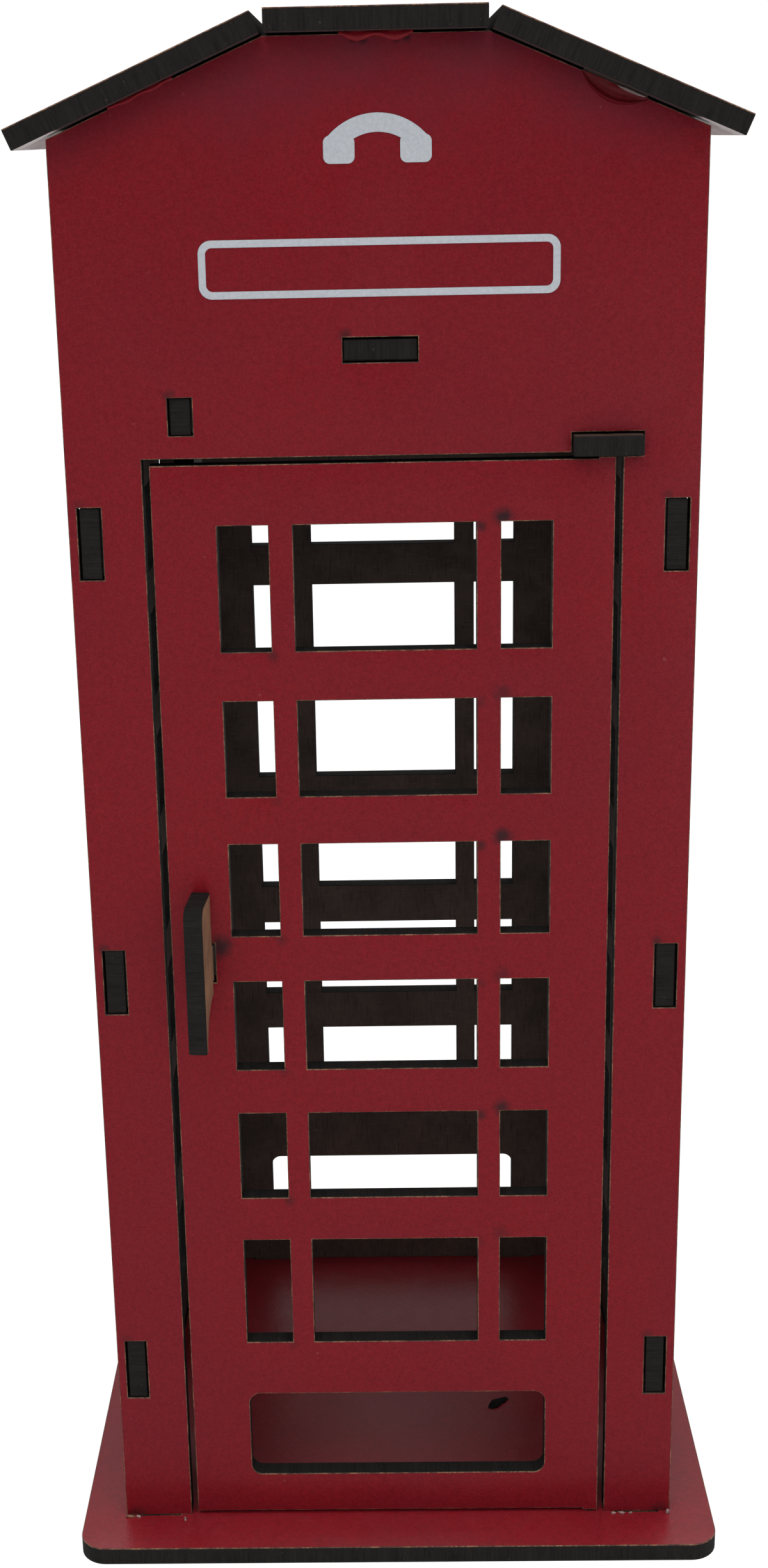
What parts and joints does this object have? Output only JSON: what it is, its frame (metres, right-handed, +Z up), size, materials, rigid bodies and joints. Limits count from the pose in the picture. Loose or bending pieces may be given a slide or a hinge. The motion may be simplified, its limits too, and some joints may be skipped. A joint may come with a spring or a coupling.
{
  "type": "miniature telephone booth",
  "caption": "Small board-cut telephone booth with a plank roof, windowed walls and a hinged door with a plate handle.",
  "frame": {"origin": "centre of the underside of the base plate", "axes": "+Z up; the door faces -Y; +X to the viewer's right, the hinge side"},
  "size_m": [0.0914, 0.0906, 0.2101],
  "materials": {
    "board": "raw fibre board with charred cut edges",
    "red_film": "satin printed film",
    "white_mark": "matt printed mark"
  },
  "bodies": {
    "booth": {"base_plate": "board", "base_film": "red_film", "front_panel": "board", "front_film": "red_film", "back_panel": "board", "back_film": "red_film", "left_side_panel": "board", "left_side_film": "red_film", "right_side_panel": "board", "right_side_film": "red_film", "ceiling_plate": "board", "hinge_plate": "board", "door_stop": "board", "roof_left_plank": "board", "roof_left_film": "red_film", "roof_top_plank": "board", "roof_top_film": "red_film", "roof_right_plank": "board", "roof_right_film": "red_film", "handset_mark": "white_mark", "label_mark": "white_mark"},
    "door": {"door_panel": "board", "door_film": "red_film", "door_handle": "board"}
  },
  "joints": [
    {"name": "door_hinge", "type": "hinge", "parent": "booth", "child": "door", "pos_m": [0.0281, -0.03628, 0.08], "axis": [0, 0, 1], "range_deg": [0, 105]}
  ]
}
